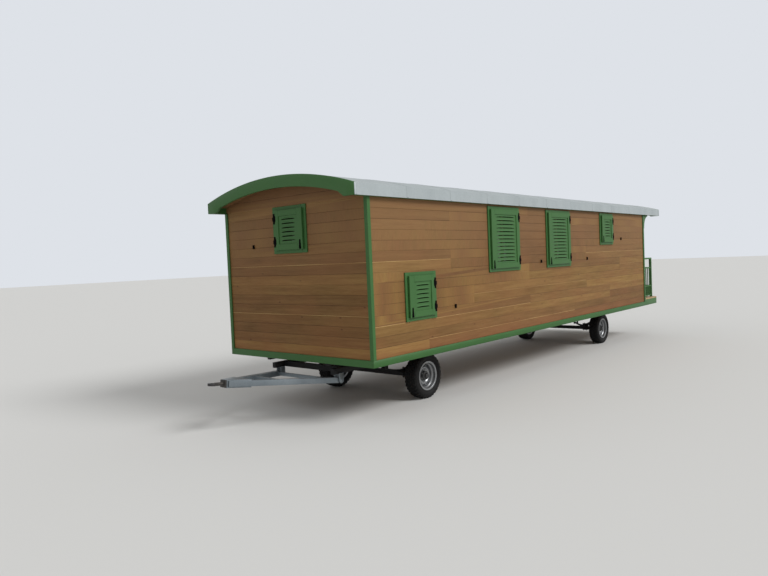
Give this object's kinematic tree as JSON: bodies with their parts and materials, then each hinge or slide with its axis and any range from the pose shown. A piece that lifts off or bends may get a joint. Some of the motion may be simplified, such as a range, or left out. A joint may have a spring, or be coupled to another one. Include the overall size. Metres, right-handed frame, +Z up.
{
  "type": "wheeled cabin trailer",
  "caption": "Timber cabin on wheels with an arched metal roof, louvred shutters, a rear porch, and a drawbar on a turntable fore-carriage for towing.",
  "frame": {"origin": "on the ground, in the middle of the trailer's length and width", "axes": "+X rearwards, +Y to the trailer's right, +Z up"},
  "size_m": [12.4383, 3.1, 3.355],
  "materials": {
    "cladding": "honey-brown stained boards",
    "inner_timber": "clear oiled softwood",
    "green_paint": "green paint on timber, satin",
    "deck_timber": "bare softwood",
    "black_iron": "black powder coat",
    "galvanised_sheet": "galvanised sheet, dull",
    "chassis_paint": "dark grey chassis paint",
    "galvanised_tube": "hot-dip galvanised",
    "forged_steel": "forged steel, worn",
    "glass": "clear window glass",
    "rim_silver": "silver paint",
    "tyre": "black rubber"
  },
  "bodies": {
    "cabin": {"chassis_frame": "chassis_paint", "floor_panel": "inner_timber", "left_wall": "cladding", "right_wall": "cladding", "front_wall": "cladding", "rear_wall": "cladding", "roof_panel": "inner_timber", "eaves_boards": "green_paint", "roof_sheet": "galvanised_sheet", "front_fascia": "green_paint", "rear_fascia": "green_paint", "base_trim": "green_paint", "corner_trims": "green_paint", "window_casings": "green_paint", "window_sashes": "inner_timber", "window_panes": "glass", "shutter_pintles": "black_iron", "shutter_holdbacks": "black_iron", "door_frame": "green_paint", "door_hinge_pins": "black_iron", "porch_deck": "deck_timber", "porch_side_railings": "green_paint", "porch_end_railings": "green_paint", "porch_braces": "green_paint", "rear_subframe": "chassis_paint", "rear_axle": "chassis_paint", "rear_springs": "chassis_paint", "turntable_upper_ring": "chassis_paint"},
    "fore_carriage": {"turntable_lower_ring": "chassis_paint", "fore_frame": "chassis_paint", "front_axle": "chassis_paint", "front_springs": "chassis_paint"},
    "drawbar": {"drawbar_frame": "galvanised_tube", "towing_eye": "forged_steel"},
    "front_left_wheel": {"front_left_rim": "rim_silver", "front_left_tyre": "tyre"},
    "front_right_wheel": {"front_right_rim": "rim_silver", "front_right_tyre": "tyre"},
    "rear_left_wheel": {"rear_left_rim": "rim_silver", "rear_left_tyre": "tyre"},
    "rear_right_wheel": {"rear_right_rim": "rim_silver", "rear_right_tyre": "tyre"},
    "left_low_shutter_set": {"left_low_shutter": "green_paint", "left_low_shutter_iron": "black_iron"},
    "left_fore_shutter_set": {"left_fore_shutter": "green_paint", "left_fore_shutter_iron": "black_iron"},
    "left_mid_shutter_set": {"left_mid_shutter": "green_paint", "left_mid_shutter_iron": "black_iron"},
    "left_high_shutter_set": {"left_high_shutter": "green_paint", "left_high_shutter_iron": "black_iron"},
    "right_fore_shutter_set": {"right_fore_shutter": "green_paint", "right_fore_shutter_iron": "black_iron"},
    "right_mid_shutter_set": {"right_mid_shutter": "green_paint", "right_mid_shutter_iron": "black_iron"},
    "front_shutter_set": {"front_shutter": "green_paint", "front_shutter_iron": "black_iron"},
    "door": {"door_leaf": "green_paint", "door_pane": "glass", "door_handles": "black_iron", "door_hinge_knuckles": "black_iron"}
  },
  "joints": [
    {"name": "turntable_steer", "type": "hinge", "parent": "cabin", "child": "fore_carriage", "pos_m": [-3.02084, 0, 0.67], "axis": [0, 0, 1], "range_deg": [-45, 45]},
    {"name": "drawbar_lift", "type": "hinge", "parent": "fore_carriage", "child": "drawbar", "pos_m": [-4.52084, 0, 0.498], "axis": [0, 1, 0], "range_deg": [-20, 9]},
    {"name": "front_left_wheel_spin", "type": "hinge", "parent": "fore_carriage", "child": "front_left_wheel", "pos_m": [-3.02084, -0.939, 0.345], "axis": [0, 1, 0], "continuous": true},
    {"name": "front_right_wheel_spin", "type": "hinge", "parent": "fore_carriage", "child": "front_right_wheel", "pos_m": [-3.02084, 0.939, 0.345], "axis": [0, 1, 0], "continuous": true},
    {"name": "rear_left_wheel_spin", "type": "hinge", "parent": "cabin", "child": "rear_left_wheel", "pos_m": [3.70916, -0.939, 0.345], "axis": [0, 1, 0], "continuous": true},
    {"name": "rear_right_wheel_spin", "type": "hinge", "parent": "cabin", "child": "rear_right_wheel", "pos_m": [3.70916, 0.939, 0.345], "axis": [0, 1, 0], "continuous": true},
    {"name": "left_low_shutter_swing", "type": "hinge", "parent": "cabin", "child": "left_low_shutter_set", "pos_m": [-3.39184, -1.522, 1.62], "axis": [0, 0, 1], "range_deg": [0, 180]},
    {"name": "left_fore_shutter_swing", "type": "hinge", "parent": "cabin", "child": "left_fore_shutter_set", "pos_m": [-0.92684, -1.522, 2.4], "axis": [0, 0, 1], "range_deg": [0, 180]},
    {"name": "left_mid_shutter_swing", "type": "hinge", "parent": "cabin", "child": "left_mid_shutter_set", "pos_m": [1.07316, -1.522, 2.4], "axis": [0, 0, 1], "range_deg": [0, 180]},
    {"name": "left_high_shutter_swing", "type": "hinge", "parent": "cabin", "child": "left_high_shutter_set", "pos_m": [3.23316, -1.522, 2.6], "axis": [0, 0, 1], "range_deg": [0, 180]},
    {"name": "right_fore_shutter_swing", "type": "hinge", "parent": "cabin", "child": "right_fore_shutter_set", "pos_m": [-0.92684, 1.522, 2.4], "axis": [0, 0, -1], "range_deg": [0, 180]},
    {"name": "right_mid_shutter_swing", "type": "hinge", "parent": "cabin", "child": "right_mid_shutter_set", "pos_m": [1.07316, 1.522, 2.4], "axis": [0, 0, -1], "range_deg": [0, 180]},
    {"name": "front_shutter_swing", "type": "hinge", "parent": "cabin", "child": "front_shutter_set", "pos_m": [-4.78284, 0.314, 2.625], "axis": [0, 0, -1], "range_deg": [0, 180]},
    {"name": "door_swing", "type": "hinge", "parent": "cabin", "child": "door", "pos_m": [5.12116, 0.3975, 1.895], "axis": [0, 0, -1], "range_deg": [0, 100]}
  ]
}
